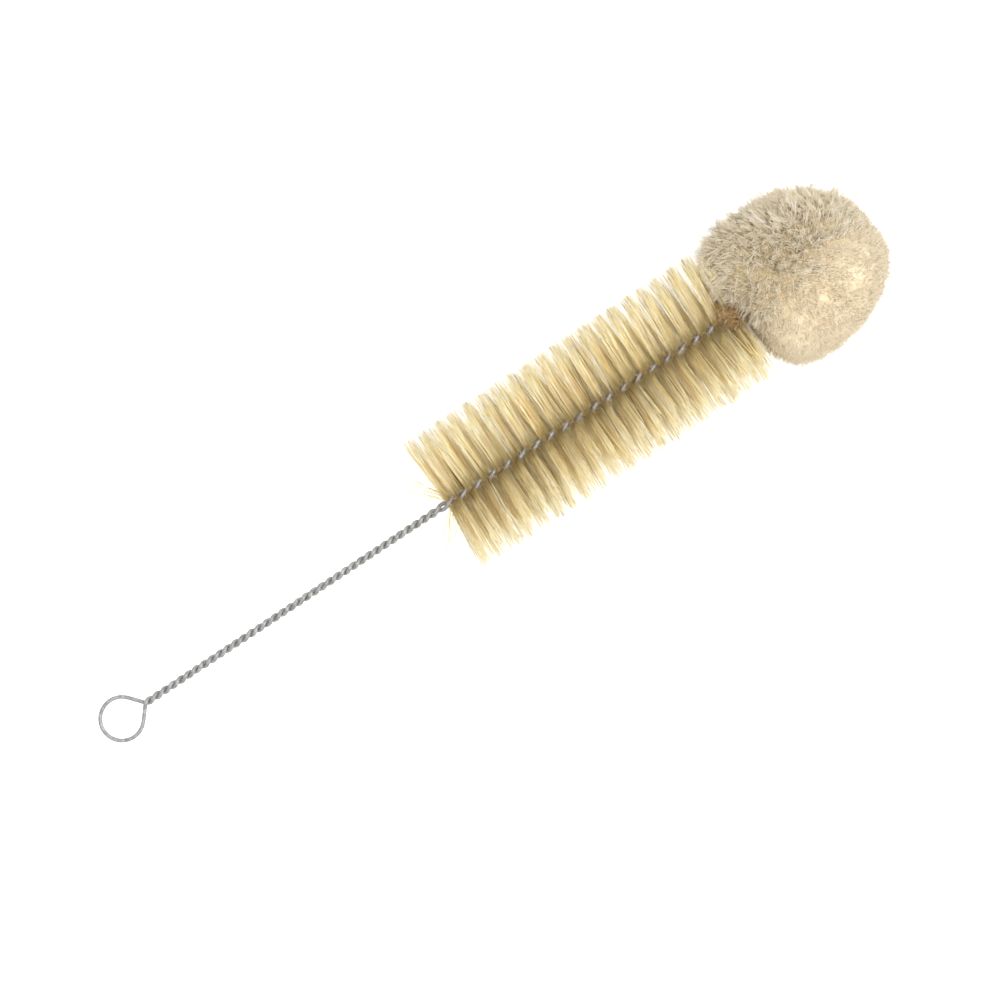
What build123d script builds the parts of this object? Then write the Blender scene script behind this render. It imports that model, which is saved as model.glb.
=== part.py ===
from build123d import *
import math
import os

# Bottle brush: one wire folded in half, its fold left open as a hanging eye and its two legs
# twisted together, left-handed, into a handle and a bristled head. The head ends in a cotton ball.
# +X runs from the eye to the cotton ball, +Z is up, and the brush lies on its bristles at z = 0
# with its axis level. Sizes are in millimetres. "Station" means the distance from the eye's end,
# measured along the axis.

# ---- driving dimensions -------------------------------------------------------------------------

# core wire
WIRE_DIA = 1.6
STRAND_GAP = 0.06           # air between the two legs of the bare handle
EYE_OUTER_DIA = 18.1
EYE_LEG_ANGLE = 49.0        # between each of the eye's straight legs and the axis, degrees
HANDLE_LENGTH = 156.8       # eye's end to the first bristle
HANDLE_PITCH = 7.12         # one full turn of a leg
HEAD_PITCH = 13.2
PITCH_CHANGE = 9.0          # length over which the handle's twist opens to the head's

# bristles
BRISTLE_LENGTH = 131.8
BRISTLE_DIA = 57.4
BRISTLE_WAIST = 0.44        # thickness of the strip where the wire pinches it
ROW_FAN = 60.0              # degrees over which one row of the spiral fans out
REST_FLAT = 12.0            # width of the flat that the brush lies on

# cotton ball
COTTON_DIA = 65.0
COTTON_LENGTH = 61.0
COTTON_BACK_ROUND = 12.0    # rounding of the rim that faces the bristles
COTTON_NOSE = 38.0          # length of the domed end

# wire end hidden in the cotton
LOOP_LEAD = 2.0             # straight wire inside the cotton before the bend
LOOP_ENTRY_RADIUS = 10.0
LOOP_RADIUS = 12.0
LOOP_TURN = 285.0           # degrees that the loop turns back through

# how finely the wire's path is laid out
POINTS_PER_TURN = 12
FEWEST_STEPS = 3            # on any one stretch of a leg
EYE_LEG_SHARES = (0.4, 0.7)  # where a straight leg of the eye has its points, apex to ring
RING_STEPS = 16             # round the eye's ring
WIRE_SPANS = 11

# clearances
PINCH_GAP = 0.05            # bristle strip to each leg of the wire
COTTON_GAP = 0.4            # last bristle to the cotton
CHANNEL_GAP = 0.15          # wire to the channel that it lies in

# ---- sizes that follow --------------------------------------------------------------------------

wire_r = WIRE_DIA / 2
handle_r = wire_r + STRAND_GAP / 2
head_r = wire_r + BRISTLE_WAIST / 2 + PINCH_GAP

bristle_end = HANDLE_LENGTH + BRISTLE_LENGTH
cotton_start = bristle_end + COTTON_GAP
total_length = cotton_start + COTTON_LENGTH
axis_height = math.sqrt((BRISTLE_DIA / 2) ** 2 - (REST_FLAT / 2) ** 2)

eye_r = EYE_OUTER_DIA / 2 - wire_r
eye_center = EYE_OUTER_DIA / 2
leg_angle = math.radians(EYE_LEG_ANGLE)
eye_apex = eye_center + eye_r / math.sin(leg_angle)
eye_leg = eye_r / math.tan(leg_angle)

# the head's axis leaves the straight at bend_start, swings out, and loops round loop_center
bend_start = cotton_start + LOOP_LEAD
entry_angle = math.acos(LOOP_ENTRY_RADIUS / (LOOP_ENTRY_RADIUS + LOOP_RADIUS))
entry_length = LOOP_ENTRY_RADIUS * entry_angle
loop_length = LOOP_RADIUS * math.radians(LOOP_TURN)
loop_center = bend_start + (LOOP_ENTRY_RADIUS + LOOP_RADIUS) * math.sin(entry_angle)
axis_length = bend_start + entry_length + loop_length


def place(station, side, up):
    """A point given by its station, its distance to the left of the axis and its height above it."""
    return Vector(station - total_length / 2, side, axis_height + up)


# ---- core wire ----------------------------------------------------------------------------------

def axis_at(length):
    """Station, side and heading of the twist's own axis, at a length measured along it."""
    if length <= bend_start:
        return length, 0.0, 0.0
    if length <= bend_start + entry_length:
        turned = (length - bend_start) / LOOP_ENTRY_RADIUS
        side = LOOP_ENTRY_RADIUS * (1 - math.cos(turned))
        return bend_start + LOOP_ENTRY_RADIUS * math.sin(turned), side, turned
    heading = entry_angle - (length - bend_start - entry_length) / LOOP_RADIUS
    return (loop_center - LOOP_RADIUS * math.sin(heading), LOOP_RADIUS * math.cos(heading), heading)


def turns_at(length):
    """Turns of twist from the eye's apex: the handle's pitch opens evenly to the head's."""
    change_start = HANDLE_LENGTH - PITCH_CHANGE
    even = min(length, change_start) - eye_apex
    opening = min(max(length - change_start, 0.0), PITCH_CHANGE)
    rate_slope = (1 / HEAD_PITCH - 1 / HANDLE_PITCH) / PITCH_CHANGE
    change = opening / HANDLE_PITCH + rate_slope * opening ** 2 / 2
    return even / HANDLE_PITCH + change + max(length - HANDLE_LENGTH, 0.0) / HEAD_PITCH


def leg_radius(length):
    """Distance of a leg from the axis of the twist: the bristle strip spreads the head's legs."""
    spread = (length - HANDLE_LENGTH + PITCH_CHANGE) / PITCH_CHANGE
    return handle_r + (head_r - handle_r) * min(max(spread, 0.0), 1.0)


def leg_angle_at(length):
    """Angle of the first leg round the axis, left-handed, with that leg on top at the apex."""
    return math.pi / 2 - 2 * math.pi * turns_at(length)


def leg_point(length, first):
    """A point on one leg: the axis plus the leg's radius at its angle of twist."""
    station, side, heading = axis_at(length)
    angle = leg_angle_at(length) + (0.0 if first else math.pi)
    out = leg_radius(length) * math.cos(angle)
    up = leg_radius(length) * math.sin(angle)
    return place(station - out * math.sin(heading), side + out * math.cos(heading), up)


def leg_points(first):
    """Points along one leg, from the apex to its end, evenly spaced round its twist."""
    stretches = [eye_apex, HANDLE_LENGTH - PITCH_CHANGE, HANDLE_LENGTH, axis_length]
    points = []
    for start, end in zip(stretches, stretches[1:]):
        steps = max(FEWEST_STEPS, round((turns_at(end) - turns_at(start)) * POINTS_PER_TURN))
        points += [leg_point(start + (end - start) * step / steps, first) for step in range(steps)]
    points.append(leg_point(axis_length, first))
    return points


def eye_points():
    """Points round the eye, without the apex: a straight leg, the ring, and the other leg."""
    ring_turn = math.pi + 2 * leg_angle
    ring_length = eye_r * ring_turn
    path_length = ring_length + 2 * eye_leg
    ring_start = math.pi / 2 - leg_angle
    points = []

    def lift(along):
        return handle_r * (1 - 2 * along / path_length)

    for share in EYE_LEG_SHARES:
        along = eye_leg * share
        station = eye_apex - along * math.cos(leg_angle)
        points.append(place(station, -along * math.sin(leg_angle), lift(along)))
    for step in range(RING_STEPS + 1):
        angle = ring_start + ring_turn * step / RING_STEPS
        along = eye_leg + ring_length * step / RING_STEPS
        station = eye_center + eye_r * math.cos(angle)
        points.append(place(station, -eye_r * math.sin(angle), lift(along)))
    for share in reversed(EYE_LEG_SHARES):
        along = eye_leg * share
        station = eye_apex - along * math.cos(leg_angle)
        points.append(place(station, along * math.sin(leg_angle), -lift(along)))
    return points


def make_core_wire():
    """The whole wire, from one end in the cotton, round the eye, to its other end.

    The path is swept span by span, each span's ring starting at the last one's seam, and the
    skins are sewn with the two end faces into one closed solid.
    """
    path = Spline(leg_points(True)[::-1] + eye_points() + leg_points(False))
    skins = []
    seam = None
    for span in range(WIRE_SPANS):
        edge = path.trim(span / WIRE_SPANS, (span + 1) / WIRE_SPANS)
        plane = Plane(origin=edge @ 0, x_dir=seam, z_dir=edge % 0)
        tube = sweep(plane * Circle(wire_r), path=edge, is_frenet=True)
        ends = tube.faces().filter_by(GeomType.PLANE).sort_by_distance(edge @ 0)
        if span == 0:
            skins.append(ends[0])
        skins += [face for face in tube.faces() if face.geom_type != GeomType.PLANE]
        seam = ends[-1].edges()[0] @ 0 - edge @ 1
    skins.append(ends[-1])
    wire = Solid(Shell(skins))
    print("wire length", round(path.length, 1), "mm, volume over section times length",
          round(wire.volume / (path.length * math.pi * wire_r ** 2), 4))
    return wire


# ---- bristles -----------------------------------------------------------------------------------

def floor_cut(solid):
    """The solid with everything below the floor removed."""
    depth = BRISTLE_DIA + COTTON_DIA
    below = Pos(0, 0, -depth / 2) * Box(total_length + depth, depth, depth)
    return solid - below


def make_bristle_fill():
    """A strip pinched at its middle and fanned out at both edges, turned with the legs' twist."""
    start_angle = math.degrees(leg_angle_at(HANDLE_LENGTH)) + 90
    fans = Sketch()
    for middle in (start_angle, start_angle + 180):
        rim = CenterArc((0, 0), BRISTLE_DIA / 2, middle - ROW_FAN / 2, ROW_FAN)
        fans += make_face(Line((0, 0), rim @ 0) + rim + Line(rim @ 1, (0, 0)))
    # a fan is as thick as the waist at half this width, so the waist ends inside both fans
    waist_width = 2 * BRISTLE_WAIST / math.tan(math.radians(ROW_FAN / 2))
    section = fans + Rot(0, 0, start_angle) * Rectangle(waist_width, BRISTLE_WAIST)
    start = place(HANDLE_LENGTH, 0, 0)
    # the sketch's own x and y become the brush's side and up
    plane = Plane(origin=start, x_dir=(0, 1, 0), z_dir=(1, 0, 0))
    turn = -360 * BRISTLE_LENGTH / HEAD_PITCH
    strip = Solid.extrude_linear_with_rotation(
        (plane * section).face(), start, (BRISTLE_LENGTH, 0, 0), turn)
    return floor_cut(strip)


# ---- cotton ball --------------------------------------------------------------------------------

def make_cotton_tip():
    """A round mass with a flat under it, hollow only where the looped wire lies."""
    radius = COTTON_DIA / 2
    start = cotton_start - total_length / 2
    end = start + COTTON_LENGTH
    belt_end = end - COTTON_NOSE
    rim = start + COTTON_BACK_ROUND
    outline = [
        Line((start, 0), (start, radius - COTTON_BACK_ROUND)),
        CenterArc((rim, radius - COTTON_BACK_ROUND), COTTON_BACK_ROUND, 180, -90),
        Line((rim, radius), (belt_end, radius)),
        EllipticalCenterArc((belt_end, 0), COTTON_NOSE, radius, start_angle=0, arc_size=90),
        Line((end, 0), (start, 0)),
    ]
    ball = Pos(0, 0, axis_height) * revolve(make_face(outline), Axis.X)
    return floor_cut(ball) - wire_channel()


def wire_channel():
    """The room that the twisted pair takes inside the cotton, along its own axis."""
    first = place(cotton_start - CHANNEL_GAP, 0, 0)
    bend = place(bend_start, 0, 0)
    loop = place(loop_center, 0, 0)
    entry_turn = math.degrees(entry_angle)
    entry = Pos(bend) * CenterArc((0, LOOP_ENTRY_RADIUS), LOOP_ENTRY_RADIUS, -90, entry_turn)
    turn_back = Pos(loop) * CenterArc((0, 0), LOOP_RADIUS, 90 + entry_turn, -LOOP_TURN)
    path = Line(first, bend) + entry + turn_back
    channel_r = head_r + wire_r + CHANNEL_GAP
    section = Plane(origin=first, z_dir=(1, 0, 0)) * Circle(channel_r)
    end = turn_back @ 1
    return sweep(section, path=path) + Pos(end) * Sphere(channel_r)


# ---- write the parts ----------------------------------------------------------------------------

os.makedirs("parts", exist_ok=True)
for name, make in (
        ("core_wire", make_core_wire),
        ("bristle_fill", make_bristle_fill),
        ("cotton_tip", make_cotton_tip)):
    part = make()
    export_step(part, f"parts/{name}.step")
    print(name, "volume", round(part.volume, 1), "valid", part.is_valid)
print("total length", round(total_length, 2), "axis height", round(axis_height, 3))
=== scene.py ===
import math

import bpy
import numpy as np
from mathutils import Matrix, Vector


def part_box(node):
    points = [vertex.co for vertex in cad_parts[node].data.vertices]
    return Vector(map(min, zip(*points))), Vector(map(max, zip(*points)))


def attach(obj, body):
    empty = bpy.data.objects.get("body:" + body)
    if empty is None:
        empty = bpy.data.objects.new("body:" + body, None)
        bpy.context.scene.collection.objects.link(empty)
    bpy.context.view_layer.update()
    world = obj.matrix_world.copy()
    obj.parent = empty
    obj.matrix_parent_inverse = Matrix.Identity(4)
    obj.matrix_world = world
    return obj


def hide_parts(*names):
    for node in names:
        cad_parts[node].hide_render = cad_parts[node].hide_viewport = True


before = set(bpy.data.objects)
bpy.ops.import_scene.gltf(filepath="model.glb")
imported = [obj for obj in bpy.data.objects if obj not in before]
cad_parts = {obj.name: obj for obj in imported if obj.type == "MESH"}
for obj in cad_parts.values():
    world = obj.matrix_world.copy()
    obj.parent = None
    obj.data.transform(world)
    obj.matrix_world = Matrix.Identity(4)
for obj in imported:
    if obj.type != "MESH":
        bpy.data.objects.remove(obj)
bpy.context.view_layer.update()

# ---- core wire ----------------------------------------------------------------------------------
# Galvanised steel wire, folded in half and twisted: the CAD solid as it stands. The finish is
# satin zinc, a little mottled, with a fine grain.
wire_low, wire_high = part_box("core_wire")
axis_height = (wire_low.z + wire_high.z) / 2
BLOTCH_SCALE = 700.0        # repeats to the metre
GRAIN_SCALE = 6000.0
GRAIN_STRENGTH = 0.25
GRAIN_DEPTH = 0.00005


def new_material(name, color, roughness):
    """A material with one Principled shader; returns the material, its tree and its shader."""
    material = bpy.data.materials.new(name)
    material.use_nodes = True
    tree = material.node_tree
    shader = tree.nodes["Principled BSDF"]
    shader.inputs["Base Color"].default_value = (*color, 1.0)
    shader.inputs["Roughness"].default_value = roughness
    return material, tree, shader


def add_noise(tree, scale, detail):
    """Noise on Object coordinates; scale is in repeats to the metre."""
    place = tree.nodes.new("ShaderNodeTexCoord")
    noise = tree.nodes.new("ShaderNodeTexNoise")
    noise.inputs["Scale"].default_value = scale
    noise.inputs["Detail"].default_value = detail
    tree.links.new(place.outputs["Object"], noise.inputs["Vector"])
    return noise


def add_ramp(tree, source, stops):
    """A colour ramp over a value: stops are pairs of a position and a linear colour."""
    ramp = tree.nodes.new("ShaderNodeValToRGB")
    elements = ramp.color_ramp.elements
    for _ in stops[2:]:
        elements.new(0.5)
    for element, (position, color) in zip(elements, stops):
        element.position = position
        element.color = (*color, 1.0)
    tree.links.new(source, ramp.inputs["Fac"])
    return ramp


def zinc_finish():
    """Satin zinc: blotches about a wire width across in colour and dullness, and a fine grain."""
    material, tree, shader = new_material("galvanised_wire", (0.3, 0.3, 0.29), 0.5)
    shader.inputs["Metallic"].default_value = 0.5
    blotch = add_noise(tree, BLOTCH_SCALE, 4.0)
    ramp = add_ramp(tree, blotch.outputs["Fac"], [
        (0.28, (0.20, 0.20, 0.193)), (0.52, (0.33, 0.33, 0.32)), (0.74, (0.47, 0.47, 0.455))])
    tree.links.new(ramp.outputs["Color"], shader.inputs["Base Color"])
    dull = tree.nodes.new("ShaderNodeMapRange")
    dull.inputs["To Min"].default_value = 0.42
    dull.inputs["To Max"].default_value = 0.62
    tree.links.new(blotch.outputs["Fac"], dull.inputs["Value"])
    tree.links.new(dull.outputs["Result"], shader.inputs["Roughness"])
    grain = add_noise(tree, GRAIN_SCALE, 2.0)
    bump = tree.nodes.new("ShaderNodeBump")
    bump.inputs["Strength"].default_value = GRAIN_STRENGTH
    bump.inputs["Distance"].default_value = GRAIN_DEPTH
    tree.links.new(grain.outputs["Fac"], bump.inputs["Height"])
    tree.links.new(bump.outputs["Normal"], shader.inputs["Normal"])
    return material


core_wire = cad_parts["core_wire"]
core_wire.data.materials.clear()
core_wire.data.materials.append(zinc_finish())

# ---- bristles -----------------------------------------------------------------------------------
# Natural bristles laid across the wire and caught in its twist, so that each hair stands out on
# both sides and the rows wind round the wire in a double, left-handed spiral. They are trimmed to
# one radius, and lean a little back towards the handle.
bristle_low, bristle_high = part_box("bristle_fill")
bristle_reach = (bristle_high.y - bristle_low.y) / 2
bristle_length = bristle_high.x - bristle_low.x
HEAD_PITCH = 0.0132
BRISTLE_ENDS = 12000        # each hair caught in the wire has two
BRISTLE_PIECES = 2
BRISTLE_RADII = (0.00006, 0.00009, 0.0001, 0.00007)   # root to tip
FINEST_HAIR = 0.66          # share of those radii
COARSE_EXTRA = 0.90         # added for the coarsest hair
COARSE_RARITY = 2.5         # the higher, the fewer coarse hairs
PINCH_RADIUS = 0.0011       # where a hair leaves the wire
BUNDLE = 3                  # hairs that stand together
STATION_JITTER = 0.0004     # of a hair about its bundle
ROW_SPREAD = math.radians(56)   # half the angle that one row fans over
SPLAY_JITTER = math.radians(4)
MEAN_LEAN = math.radians(-1.5)  # back towards the handle
BUNDLE_LEAN = math.radians(1.3)
HAIR_LEAN = math.radians(1.6)
UPRIGHT_LEAN = 0.25         # share of its lean that an upright hair keeps
TOP_PARTING = math.radians(35)  # turn of the hairs that would stand straight up
PARTING_WIDTH = math.radians(44)
TRIM = 1.01                 # of the head's radius, less a ragged share
RAGGED_RIGHT = 0.040
RAGGED_LEFT = 0.024
SHORT_SHARE = 0.10          # of the hairs end short, between these shares of the trim
SHORT_TRIM = (0.70, 0.96)
BOW = 0.7                   # spread of the bend, per metre
BOW_SHARE = 0.5
FLOOR_CLEAR = 0.0002        # lowest that a hair's middle line may lie


def unit(vectors):
    """Vectors over their lengths."""
    return vectors / np.linalg.norm(vectors, axis=-1, keepdims=True)


def hair_mesh(name, paths, radii, tones, first=0.0, sides=3):
    """Tapered closed hairs, all in one mesh.

    paths is (hairs, rings, 3) and radii (hairs, rings). Each ring is a regular polygon square to
    the path; rings are joined by quads, and both ends are closed by a polygon. Two attributes
    go with the vertices: tone, one value to a hair, and along, from first at the root, which
    is 0 or one value to a hair, to 1 at the tip.
    """
    hairs, rings = radii.shape
    tangent = unit(np.gradient(paths, axis=1))
    helper = np.where(np.abs(tangent[..., :1]) < 0.8, [1.0, 0.0, 0.0], [0.0, 0.0, 1.0])
    across = unit(np.cross(tangent, helper))
    beside = np.cross(tangent, across)
    angle = np.arange(sides) * 2 * np.pi / sides
    spoke = across[:, :, None] * np.cos(angle)[:, None] + beside[:, :, None] * np.sin(angle)[:, None]
    points = paths[:, :, None] + spoke * radii[:, :, None, None]
    index = np.arange(hairs * rings * sides).reshape(hairs, rings, sides)
    around = np.roll(index, -1, axis=2)
    quads = np.stack([index[:, :-1], around[:, :-1], around[:, 1:], index[:, 1:]], axis=-1)
    roots = index[:, 0, ::-1]
    tips = index[:, -1]
    corners = np.concatenate([quads.ravel(), roots.ravel(), tips.ravel()])
    sizes = np.concatenate([np.full(quads.size // 4, 4), np.full(2 * hairs, sides)])
    starts = np.concatenate([[0], np.cumsum(sizes)[:-1]])
    mesh = bpy.data.meshes.new(name)
    mesh.vertices.add(index.size)
    mesh.vertices.foreach_set("co", points.astype(np.float32).ravel())
    mesh.loops.add(corners.size)
    mesh.loops.foreach_set("vertex_index", corners.astype(np.int32))
    mesh.polygons.add(sizes.size)
    mesh.polygons.foreach_set("loop_start", starts.astype(np.int32))
    mesh.polygons.foreach_set("use_smooth", np.ones(sizes.size, dtype=bool))
    mesh.update(calc_edges=True)
    first = np.broadcast_to(first, hairs)[:, None]
    along = first + (1 - first) * np.linspace(0, 1, rings)
    set_shades(mesh, np.broadcast_to(tones[:, None, None], index.shape),
               np.broadcast_to(along[:, :, None], index.shape))
    return mesh


def set_shades(mesh, tone, along):
    """Stores the two values that the hair and cotton finishes read at each vertex."""
    for label, values in (("tone", tone), ("along", along)):
        attribute = mesh.attributes.new(label, "FLOAT", "POINT")
        attribute.data.foreach_set("value", values.astype(np.float32).ravel())


def add_piece(mesh, material):
    """Links a mesh as a piece of the brush's one body."""
    mesh.materials.append(material)
    piece = bpy.data.objects.new(mesh.name, mesh)
    bpy.context.collection.objects.link(piece)
    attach(piece, "root")
    return piece


def add_attribute(tree, name):
    """Reads one of a mesh's attributes."""
    attribute = tree.nodes.new("ShaderNodeAttribute")
    attribute.attribute_name = name
    return attribute.outputs["Fac"]


def shade_by_hair(tree, shader, tones, painted_shade_stops):
    """Base colour = a ramp over each hair's tone, times a ramp along the hair that paints shade at
    the root.
    """
    hue = add_ramp(tree, add_attribute(tree, "tone"), tones)
    depth = add_ramp(tree, add_attribute(tree, "along"), painted_shade_stops)
    mix = tree.nodes.new("ShaderNodeMix")
    mix.data_type = "RGBA"
    mix.blend_type = "MULTIPLY"
    mix.inputs["Factor"].default_value = 1.0
    tree.links.new(hue.outputs["Color"], mix.inputs["A"])
    tree.links.new(depth.outputs["Color"], mix.inputs["B"])
    tree.links.new(mix.outputs["Result"], shader.inputs["Base Color"])


def row_angle_at_start():
    """Angle round the axis at which the first row of the CAD strip stands.

    The strip's first edge has two tips, half a turn apart, so the mean is taken of twice the angle.
    """
    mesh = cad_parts["bristle_fill"].data
    points = np.empty(len(mesh.vertices) * 3)
    mesh.vertices.foreach_get("co", points)
    points = points.reshape(-1, 3)
    out = np.hypot(points[:, 1], points[:, 2] - axis_height)
    first = points[(points[:, 0] < bristle_low.x + 1e-6) & (out > 0.9 * bristle_reach)]
    angle = np.arctan2(first[:, 2] - axis_height, first[:, 1])
    return np.angle(np.exp(2j * angle).mean()) / 2


row_angle = row_angle_at_start()


def bristle_paths(rng, count, rings):
    """Paths of hairs from the pinch to the trim radius.

    Hairs stand in loose bundles. A hair leaves the wire at its row's angle and runs straight at
    that angle plus its splay, with a lean along the axis and a slight bow: point = root +
    direction x distance + bow x distance x (distance to go). The distance is what takes it to the
    trim radius, less a ragged share. Hairs that would stand straight up over the wire part to
    either side, which leaves it in view.
    """
    bundles = count // BUNDLE
    bundle = rng.integers(0, bundles, count)
    side = rng.integers(0, 2, bundles)[bundle]
    station = rng.uniform(0, bristle_length, bundles)[bundle] + rng.normal(0, STATION_JITTER, count)
    station = np.clip(station, 0, bristle_length)
    base = row_angle - 2 * np.pi * station / HEAD_PITCH + np.pi * side
    splay = ROW_SPREAD * rng.uniform(-1, 1, bundles)[bundle] + rng.normal(0, SPLAY_JITTER, count)
    lean = rng.normal(MEAN_LEAN, BUNDLE_LEAN, bundles)[bundle] + rng.normal(0, HAIR_LEAN, count)
    heading = base + splay
    from_top = np.angle(np.exp(1j * (heading - np.pi / 2)))
    heading += TOP_PARTING * np.sign(from_top) * np.exp(-(from_top / PARTING_WIDTH) ** 2)
    lean *= UPRIGHT_LEAN + (1 - UPRIGHT_LEAN) * np.abs(np.cos(heading))
    direction = np.stack([np.sin(lean), np.cos(lean) * np.cos(heading),
                          np.cos(lean) * np.sin(heading)], axis=1)
    root = np.stack([bristle_low.x + station, PINCH_RADIUS * np.cos(base),
                     PINCH_RADIUS * np.sin(base)], axis=1)
    ragged = np.where(np.cos(heading) < 0, RAGGED_RIGHT, RAGGED_LEFT)
    trim = bristle_reach * np.minimum(TRIM - np.abs(rng.normal(0, 1, count)) * ragged, 1.0)
    trim *= np.where(rng.random(count) < SHORT_SHARE, rng.uniform(*SHORT_TRIM, count), 1.0)
    ahead = PINCH_RADIUS * np.cos(heading - base)
    distance = (np.sqrt(ahead ** 2 + trim ** 2 - PINCH_RADIUS ** 2) - ahead) / np.cos(lean)
    bow = rng.normal(0, BOW, (count, 3)) * (rng.random((count, 1)) < BOW_SHARE)
    share = np.linspace(0, 1, rings)[None, :, None]
    full = distance[:, None, None]
    run = full * share
    paths = root[:, None] + direction[:, None] * run + bow[:, None] * run * (run - full)
    paths[..., 2] = np.maximum(paths[..., 2] + axis_height, FLOOR_CLEAR)
    return paths


def bristle_finish():
    """Straw, a tone to each hair and a few dark hairs, with painted shade: warmer at the wire, paler
    to the tips.
    """
    material, tree, shader = new_material("natural_bristle", (0.72, 0.55, 0.3), 0.24)
    shader.inputs["Specular IOR Level"].default_value = 0.55
    shade_by_hair(
        tree, shader,
        [(0.00, (0.84, 0.58, 0.24)), (0.18, (0.98, 0.82, 0.42)), (0.72, (0.99, 0.92, 0.62)),
         (0.90, (0.99, 0.96, 0.84)), (0.992, (0.16, 0.09, 0.04))],
        # painted shade: warmer and a little darker down at the wire, where the hairs crowd, fading to
        # the tips
        [(0.0, (1.0, 0.95, 0.76)), (0.4, (1.0, 0.98, 0.92)), (1.0, (1.0, 1.0, 1.0))])
    return material


bristle_material = bristle_finish()
rng = np.random.default_rng(11)
for number in range(1, BRISTLE_PIECES + 1):
    ends = BRISTLE_ENDS // BRISTLE_PIECES
    paths = bristle_paths(rng, ends, len(BRISTLE_RADII))
    thickness = FINEST_HAIR + COARSE_EXTRA * rng.random((ends, 1)) ** COARSE_RARITY
    radii = thickness * BRISTLE_RADII
    tones = rng.random(ends)
    mesh = hair_mesh(f"bristles_{number}", paths, radii, tones)
    piece = add_piece(mesh, bristle_material)
    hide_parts("bristle_fill")

# ---- stray hairs --------------------------------------------------------------------------------
# A few long bristles at the handle end, not caught square in the twist: they lie back along the
# handle or stand out past the rest, each with a bend of its own.
STRAYS = 22
STRAY_RINGS = 8
STRAY_RADII = (0.00016, 0.0001)     # root and tip
STRAY_LENGTHS = (0.014, 0.030)
STRAY_START = 0.001                 # out from the axis
STRAY_STATIONS = (0.0, 0.004)       # along the first rows
STRAY_BACK = (-1.0, -0.10)          # towards the handle, for 1 sideways
STRAY_RISE = (-0.25, 0.5)           # up, for 1 sideways
STRAY_TONES = (0.0, 0.9)
LEFT_SHARE = 0.35                   # the rest stand on the right
STRAY_BEND = 9.0                    # per metre, either way
BACKWARD_BEND = np.array([-8.0, 0.0, 0.0])


def stray_paths(count, rings):
    """Arcs that start at the first rows and turn back: root + out x run + bend x run squared."""
    station = bristle_low.x + rng.uniform(*STRAY_STATIONS, count)
    side = np.where(rng.random(count) < LEFT_SHARE, 1.0, -1.0)
    back = rng.uniform(*STRAY_BACK, count)
    rise = rng.uniform(*STRAY_RISE, count)
    out = unit(np.stack([back, side, rise], axis=1))
    run = (rng.uniform(*STRAY_LENGTHS, count)[:, None] * np.linspace(0, 1, rings))[:, :, None]
    bend = rng.normal(0, STRAY_BEND, (count, 3)) + BACKWARD_BEND
    root = np.stack([station, STRAY_START * side, np.full(count, axis_height)], axis=1)
    paths = root[:, None] + out[:, None] * run + bend[:, None] * run ** 2
    paths[..., 2] = np.maximum(paths[..., 2], FLOOR_CLEAR)
    return paths


paths = stray_paths(STRAYS, STRAY_RINGS)
radii = np.tile(np.linspace(*STRAY_RADII, STRAY_RINGS), (STRAYS, 1))
mesh = hair_mesh("stray_hairs", paths, radii, rng.uniform(*STRAY_TONES, STRAYS))
piece = add_piece(mesh, bristle_material)
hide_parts("bristle_fill")

# ---- root hairs and painted shade ---------------------------------------------------------------
# Short brown underhair, curled round the wire where the bristles leave it. More curls, longer,
# lie where the bristles end at the cotton: brown put there as painted shade of that joint.
ROOT_AND_SHADE_HAIRS = 2500
# painted shade: brown curls over the joint of bristles and cotton stand in for its shade
SHADE_CURLS = 620             # of them, over the place where the wire goes into the cotton
ROOT_HAIR_RINGS = 6
ROOT_HAIR_RADIUS = 0.00006
ROOT_HAIR_START = 0.0012    # out from the axis
ROOT_HAIR_LENGTHS = (0.0012, 0.0030)
ROOT_HAIR_LEAN = 0.6        # spread along the wire, for 1 out from it
ROOT_HAIR_TURN = (2.0, 6.5)     # radians from root to tip
ROOT_HAIR_SWING = (0.0003, 0.0008)
END_CURL_STATION = (-0.0025, 0.0030)    # mean and spread, from the end of the bristles
END_CURL_ANGLE = (math.radians(70), math.radians(32))   # mean and spread, up from the left side
END_CURL_START = (0.0030, 0.0085)
END_CURL_LENGTHEN = 1.3
END_CURL_WIDEN = 2.0


def root_and_shade_hair_paths(count, rings):
    """Curls: point = root + out x length + an arc of a circle, turned through as the hair goes out.

    The first of them, the shade curls, are longer and lie over the end of the bristles: brown painted
    shade where the bristles meet the cotton.
    """
    shade_curl = np.arange(count) < SHADE_CURLS
    station = np.where(shade_curl, bristle_length + rng.normal(*END_CURL_STATION, count),
                       rng.uniform(0, bristle_length, count))
    angle = np.where(shade_curl, rng.normal(*END_CURL_ANGLE, count),
                     rng.uniform(0, 2 * np.pi, count))
    start = np.where(shade_curl, rng.uniform(*END_CURL_START, count), ROOT_HAIR_START)
    out = unit(np.stack([rng.normal(0, ROOT_HAIR_LEAN, count), np.cos(angle), np.sin(angle)], axis=1))
    root = np.stack([bristle_low.x + station, start * np.cos(angle), start * np.sin(angle)], axis=1)
    length = rng.uniform(*ROOT_HAIR_LENGTHS, count) * np.where(shade_curl, END_CURL_LENGTHEN, 1.0)
    share = np.linspace(0, 1, rings)[None, :, None]
    curl = rng.uniform(*ROOT_HAIR_TURN, count)[:, None, None] * share
    across = unit(np.cross(out, rng.normal(0, 1, (count, 3))))
    swing = rng.uniform(*ROOT_HAIR_SWING, count) * np.where(shade_curl, END_CURL_WIDEN, 1.0)
    swing = swing[:, None, None]
    paths = (root[:, None] + out[:, None] * (length[:, None, None] * share)
             + across[:, None] * swing * np.sin(curl)
             + np.cross(out, across)[:, None] * swing * (1 - np.cos(curl)))
    paths[..., 2] += axis_height
    return paths


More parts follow.
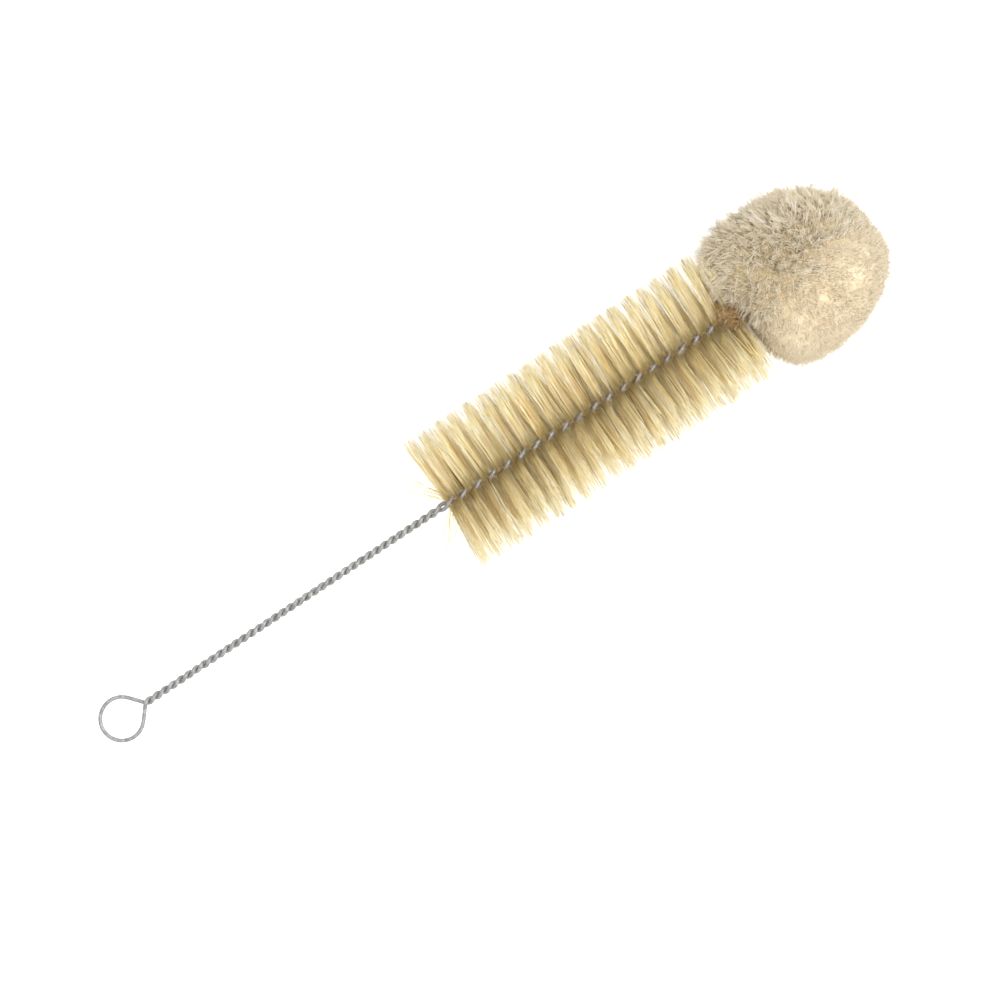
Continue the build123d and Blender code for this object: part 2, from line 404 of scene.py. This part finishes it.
def root_and_shade_hair_finish():
    """Brown, from dark to tan, one tone to a hair; on the curls at the cotton it is painted shade."""
    material, tree, shader = new_material("root_hair_and_painted_shade", (0.2, 0.12, 0.05), 0.5)
    hue = add_ramp(tree, add_attribute(tree, "tone"), [
        (0.0, (0.30, 0.17, 0.06)), (0.5, (0.70, 0.46, 0.20)), (1.0, (0.94, 0.76, 0.44))])
    tree.links.new(hue.outputs["Color"], shader.inputs["Base Color"])
    return material


paths = root_and_shade_hair_paths(ROOT_AND_SHADE_HAIRS, ROOT_HAIR_RINGS)
radii = np.full((ROOT_AND_SHADE_HAIRS, ROOT_HAIR_RINGS), ROOT_HAIR_RADIUS)
mesh = hair_mesh("root_hairs_and_painted_shade", paths, radii, rng.random(ROOT_AND_SHADE_HAIRS))
piece = add_piece(mesh, root_and_shade_hair_finish())
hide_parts("bristle_fill")

# ---- cotton ball --------------------------------------------------------------------------------
# Undyed cotton tufts, caught in the looped end of the wire and teased out into a soft round ball.
# A closed, lumpy body lies deep down, and thousands of fibres stand on it, in tufts and singly.
# Body and fibre roots are painted darker where it is shaggy: painted shade between the tufts.
cotton_low, cotton_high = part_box("cotton_tip")
NOSE_REACH = 0.033
BACK_REACH = 0.0270
BALL_REACH = (cotton_high.y - cotton_low.y) / 2
BALL_CENTER = np.array([cotton_high.x - NOSE_REACH, 0.0, axis_height])
FRONT_POWER = 2.2           # 2 is an ellipse, more is squarer
BACK_POWER = 3.8
LOBE_RISE = 0.0085          # over the last bristles
LOBE_POLAR = 2.45           # radians from the nose
LOBE_WIDTH = 0.32
LOBE_TURN = 0.5             # radians up from the left side
RIGHT_FRONT = (0.834, -0.551)   # level directions: how far to the nose, how far to the left
LEFT_FRONT = (0.551, 0.834)
RIGHT_FLANK = (0.309, -0.951)
RIGHT_FRONT_SWELL = 0.0005
LEFT_FRONT_FLAT = 0.0022
RIGHT_FLANK_FLAT = 0.0022
SLOW_WAVES = 0.0006
LUMPS = 0.0005
PARTING_DEPTH = 0.0030
BODY_ROWS = 110
BODY_COLUMNS = 200
BODY_FLOOR_CLEAR = 0.0004
TUFTS = 3000
FIBRES = 44000
UNDERCOAT = 0.4             # share of them that stand singly between the tufts
COTTON_PIECES = 4
FIBRE_RINGS = 3
FIBRE_RADIUS = (0.00015, 0.00005)   # root and tip
FIBRE_THICKNESS = (0.7, 1.25)       # share of that
BODY_DEPTH = 0.0015         # under the fibres' tips where the cotton is smooth
SHAGGY_DEPTH = 0.0034       # and as much more where it is shaggy
TUFT_SCATTER = 0.03
TUFT_HEIGHT_SPREAD = 0.0016
TUFT_HEIGHTS = (-0.0032, 0.0022)    # lowest and highest
FLOW_TILT = 0.0026
RANDOM_TILT = 0.0023
COMBED_TILT = 0.0022        # towards the nose
SMOOTH_TONE = 0.6
# painted shade: share of the tone taken away down in the parting
PARTING_SHADE = 0.5
TIP_SCATTER = 0.0004
SINGLE_SCATTER = 0.0010
FIBRE_CURL = 0.0005
FIBRE_TONE_SPREAD = 0.10


def facing(along, left, way):
    """How squarely a direction faces a level direction, from 0 to 1."""
    return np.clip(way[0] * along + way[1] * left, 0, 1)


def ball_reach(direction):
    """Distance from the ball's centre to its soft surface, for unit directions.

    In front it is close to an ellipse of nose and side reach; behind, a squarer superellipse. A
    lobe on the left laps over the last bristles, the right flank is a little flat and the front
    fuller on the right than on the left, slow waves and lumps make it uneven, and a wandering
    parting runs along the top from the wire to the crown.
    """
    along, left, up = direction[..., 0], direction[..., 1], direction[..., 2]
    out = np.hypot(left, up)
    front = along > 0
    power = np.where(front, FRONT_POWER, BACK_POWER)
    length = np.where(front, NOSE_REACH, BACK_REACH)
    reach = (np.abs(along / length) ** power + (out / BALL_REACH) ** power) ** (-1 / power)
    polar = np.arctan2(out, along)
    toward = (left * math.cos(LOBE_TURN) + up * math.sin(LOBE_TURN)) / np.maximum(out, 1e-6)
    toward = np.clip(toward, 0, 1)
    reach = reach + LOBE_RISE * np.exp(-((polar - LOBE_POLAR) / LOBE_WIDTH) ** 2) * toward ** 1.5
    reach = reach + RIGHT_FRONT_SWELL * facing(along, left, RIGHT_FRONT) ** 4
    reach = reach - LEFT_FRONT_FLAT * facing(along, left, LEFT_FRONT) ** 4
    reach = reach - RIGHT_FLANK_FLAT * facing(along, left, RIGHT_FLANK) ** 8
    waves = np.sin(7 * left + 3 * along + 1.3) + np.sin(6 * up - 5 * along + 0.4)
    reach = reach + SLOW_WAVES * waves
    reach = reach + LUMPS * np.sin(15 * along + 11 * left + 2) * np.sin(12 * up - 7 * left)
    return reach - PARTING_DEPTH * parting(direction)


def parting(direction):
    """How deep in the parting a direction lies, from 0 to 1.

    It is a bell curve across a wavy line on the top, faded out towards the sides and the nose.
    """
    along, left, up = direction[..., 0], direction[..., 1], direction[..., 2]
    line = left - 0.24 - 0.20 * along - 0.05 * np.sin(9 * along)
    length = np.clip(up * 2, 0, 1) * np.clip(1.1 - 2 * along, 0, 1)
    return np.exp(-(line / 0.10) ** 2) * length * (0.6 + 0.4 * np.sin(17 * along + 1))


def shag(direction):
    """How shaggy the cotton is, from 0 to 1: smooth on the right and the nose, teased on the left.

    A smooth step across the ball, and never less than the parting asks for.
    """
    side = direction[..., 1] - 0.35 * direction[..., 0] + 0.15 * direction[..., 2]
    teased = 0.12 + 0.88 / (1 + np.exp(-(side - 0.05) / 0.16))
    return np.maximum(teased, 0.9 * parting(direction))


def sphere_points(count):
    """Even directions on a sphere, one step of the golden angle apart."""
    step = np.arange(count) + 0.5
    along = 1 - 2 * step / count
    turn = step * math.pi * (3 - math.sqrt(5))
    out = np.sqrt(1 - along ** 2)
    return np.stack([along, out * np.cos(turn), out * np.sin(turn)], axis=1)


# Each tuft has a place, a height, a tilt across the surface and a tone. The tilt follows slow
# waves round the ball where it is shaggy, and is combed towards the nose where it is smooth.
tuft_axis = unit(sphere_points(TUFTS) + rng.normal(0, TUFT_SCATTER, (TUFTS, 3)))
tuft_shag = shag(tuft_axis)
tuft_height = np.clip(rng.normal(0, TUFT_HEIGHT_SPREAD, TUFTS), *TUFT_HEIGHTS)
tuft_height *= 0.45 + 0.55 * tuft_shag
flow = np.stack([np.sin(5 * tuft_axis[:, 1] + 2 * tuft_axis[:, 2]),
                 np.sin(4 * tuft_axis[:, 2] - 3 * tuft_axis[:, 0] + 1.0),
                 np.sin(5 * tuft_axis[:, 0] + 3 * tuft_axis[:, 1] + 2.0)], axis=1)
tuft_tilt = (FLOW_TILT * flow + rng.normal(0, RANDOM_TILT, (TUFTS, 3))) * tuft_shag[:, None]
tuft_tilt[:, 0] += COMBED_TILT * (1 - tuft_shag)
tuft_tilt -= tuft_axis * (tuft_tilt * tuft_axis).sum(axis=1, keepdims=True)
tuft_tone = rng.random(TUFTS) * tuft_shag + SMOOTH_TONE * (1 - tuft_shag)
# painted shade: tufts in the parting are toned down
tuft_tone *= 1 - PARTING_SHADE * parting(tuft_axis)


def ball_mesh(rows, columns):
    """A closed ball on a grid of polar and turning angles, just under the fibres' tips."""
    polar = np.linspace(0, np.pi, rows + 2)[1:-1]
    turn = np.arange(columns) * 2 * np.pi / columns
    polar, turn = np.meshgrid(polar, turn, indexing="ij")
    direction = np.stack([np.cos(polar), np.sin(polar) * np.cos(turn),
                          np.sin(polar) * np.sin(turn)], axis=-1)
    direction = np.concatenate([[[1.0, 0, 0]], direction.reshape(-1, 3), [[-1.0, 0, 0]]])
    depth = BODY_DEPTH + SHAGGY_DEPTH * shag(direction)
    points = BALL_CENTER + direction * (ball_reach(direction) - depth)[:, None]
    points[:, 2] = np.maximum(points[:, 2], BODY_FLOOR_CLEAR)
    grid = 1 + np.arange(rows * columns).reshape(rows, columns)
    after = np.roll(grid, -1, axis=1)
    quads = np.stack([grid[:-1], grid[1:], after[1:], after[:-1]], axis=-1).reshape(-1, 4)
    last = rows * columns + 1
    nose = np.stack([np.zeros(columns, int), grid[0], after[0]], axis=1)
    back = np.stack([np.full(columns, last), after[-1], grid[-1]], axis=1)
    mesh = bpy.data.meshes.new("cotton_body")
    mesh.from_pydata(points.tolist(), [], quads.tolist() + nose.tolist() + back.tolist())
    mesh.polygons.foreach_set("use_smooth", np.ones(len(mesh.polygons), dtype=bool))
    # painted shade: the body toned down in the parting, and darker where it is shaggy, between the
    # tufts
    tone = SMOOTH_TONE - PARTING_SHADE * parting(direction)
    set_shades(mesh, tone, 0.5 - 0.45 * shag(direction))
    return mesh


def fibre_paths(count, rings):
    """Fibres in tufts, which rise from a patch, lean together and draw together where shaggy.

    Each runs from a root just inside the body to its tip, straight but for half a wave of curl. A
    share of them stand singly anywhere, a little lower, and cover the body between the tufts.
    Returns the paths, each fibre's tone, and where along its ramp of painted shade the fibre starts.
    """
    tuft = np.arange(count) % TUFTS
    single = rng.random((count, 1)) < UNDERCOAT
    axis = np.where(single, unit(rng.normal(0, 1, (count, 3))), tuft_axis[tuft])
    loose = shag(axis)
    spread = rng.normal(0, 1, (count, 3)) * (0.052 - 0.022 * loose)[:, None]
    direction = unit(axis + spread)
    deep = BODY_DEPTH + SHAGGY_DEPTH * loose + rng.uniform(0.0004, 0.0018, count)
    root = direction * (ball_reach(direction) - deep)[:, None]
    tip_direction = unit(axis + spread * (0.55 - 0.30 * loose)[:, None])
    height = np.where(single[:, 0], -0.0013 * loose, tuft_height[tuft])
    height += rng.normal(-0.0010, 0.0005, count) * (0.6 + 0.4 * loose)
    tip = tip_direction * (ball_reach(tip_direction) + height)[:, None]
    tip += np.where(single, rng.normal(0, SINGLE_SCATTER, (count, 3)), tuft_tilt[tuft])
    tip += rng.normal(0, TIP_SCATTER, (count, 3))
    share = np.linspace(0, 1, rings)[None, :, None]
    curl = rng.normal(0, FIBRE_CURL, (count, 1, 3)) * np.sin(np.pi * share)
    paths = BALL_CENTER + root[:, None] * (1 - share) + tip[:, None] * share + curl
    paths[..., 2] = np.maximum(paths[..., 2], FLOOR_CLEAR)
    tones = np.where(single[:, 0], SMOOTH_TONE - 0.35 * loose, tuft_tone[tuft])
    tones = np.clip(tones + rng.normal(0, FIBRE_TONE_SPREAD, count) * loose, 0, 1)
    # painted shade: shaggy fibres start their ramp at the dark root, smooth ones part way up
    return paths, tones, 0.45 * (1 - loose)


def cotton_finish():
    """Undyed cotton: cream at the tips, with painted shade darker and warmer down between the tufts.
    """
    material, tree, shader = new_material("cotton_wool", (0.8, 0.7, 0.5), 0.95)
    shader.inputs["Specular IOR Level"].default_value = 0.1
    shader.inputs["Sheen Weight"].default_value = 0.3
    shade_by_hair(
        tree, shader,
        [(0.0, (0.72, 0.62, 0.45)), (0.35, (0.90, 0.82, 0.64)), (0.6, (0.84, 0.73, 0.54)),
         (1.0, (0.95, 0.90, 0.78))],
        # painted shade: dark and warm at the root, fading out to the tips
        [(0.0, (0.50, 0.42, 0.27)), (0.45, (0.96, 0.95, 0.92)), (1.0, (1.0, 1.0, 1.0))])
    return material


cotton_material = cotton_finish()
piece = add_piece(ball_mesh(BODY_ROWS, BODY_COLUMNS), cotton_material)
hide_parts("cotton_tip")
for number in range(1, COTTON_PIECES + 1):
    count = FIBRES // COTTON_PIECES
    paths, tones, first = fibre_paths(count, FIBRE_RINGS)
    radii = rng.uniform(*FIBRE_THICKNESS, count)[:, None] * np.linspace(*FIBRE_RADIUS, FIBRE_RINGS)
    mesh = hair_mesh(f"cotton_tufts_{number}", paths, radii, tones, first)
    piece = add_piece(mesh, cotton_material)
    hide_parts("cotton_tip")

# ---- floor, light and camera --------------------------------------------------------------------
# A white floor that shows white to the camera and keeps the brush's shadow, soft light from above,
# a little to the right and towards the cotton, and a long lens that looks straight down, turned so
# that the brush lies slantwise.
FLOOR_SIZE = 8.0
FLOOR_GLOW = 0.5
KEY_PLACE = Vector((0.32, -0.22, 1.24))
KEY_SIZE = 0.8
KEY_POWER = 10.0
LIGHT_BOUNCES = 12          # so that light gets down between the hairs
BRUSH_SLANT = math.radians(33.45)
PICTURE_WIDTH = 0.379
LENS = 120.0
SENSOR = 36.0
CAMERA_X = -0.0007
CAMERA_Y = -0.0098


def white_floor():
    """White paint that glows a little to the camera and in reflections, so that it shows white."""
    material, tree, shader = new_material("floor_white", (0.9, 0.9, 0.9), 0.9)
    shader.inputs["Specular IOR Level"].default_value = 0.0
    shader.inputs["Emission Color"].default_value = (1, 1, 1, 1)
    path = tree.nodes.new("ShaderNodeLightPath")
    seen = path.outputs["Is Camera Ray"]
    for kind in ("Is Glossy Ray", "Is Transmission Ray"):
        either = tree.nodes.new("ShaderNodeMath")
        either.operation = "MAXIMUM"
        tree.links.new(seen, either.inputs[0])
        tree.links.new(path.outputs[kind], either.inputs[1])
        seen = either.outputs[0]
    glow = tree.nodes.new("ShaderNodeMath")
    glow.operation = "MULTIPLY"
    glow.inputs[1].default_value = FLOOR_GLOW
    tree.links.new(seen, glow.inputs[0])
    tree.links.new(glow.outputs[0], shader.inputs["Emission Strength"])
    return material


half = FLOOR_SIZE / 2
corners = [(-half, -half, 0), (half, -half, 0), (half, half, 0), (-half, half, 0)]
mesh = bpy.data.meshes.new("floor")
mesh.from_pydata(corners, [], [(0, 1, 2, 3)])
mesh.materials.append(white_floor())
floor = bpy.data.objects.new("floor", mesh)
bpy.context.collection.objects.link(floor)

world = bpy.data.worlds.new("studio")
world.use_nodes = True
backdrop = world.node_tree.nodes["Background"]
backdrop.inputs["Color"].default_value = (1, 1, 1, 1)
backdrop.inputs["Strength"].default_value = 1.0
bpy.context.scene.world = world

lamp = bpy.data.lights.new("key", "AREA")
lamp.size = KEY_SIZE
lamp.energy = KEY_POWER
key = bpy.data.objects.new("key", lamp)
key.location = KEY_PLACE
aim = Vector((0, 0, axis_height)) - KEY_PLACE
key.rotation_euler = aim.to_track_quat("-Z", "Y").to_euler()
bpy.context.collection.objects.link(key)

camera_data = bpy.data.cameras.new("camera")
camera_data.lens = LENS
camera_data.sensor_width = SENSOR
camera = bpy.data.objects.new("camera", camera_data)
camera.location = (CAMERA_X, CAMERA_Y, axis_height + LENS / SENSOR * PICTURE_WIDTH)
camera.rotation_euler = (0, 0, -BRUSH_SLANT)
bpy.context.collection.objects.link(camera)
bpy.context.scene.camera = camera
bpy.context.scene.view_settings.view_transform = "Standard"
bpy.context.scene.cycles.diffuse_bounces = LIGHT_BOUNCES
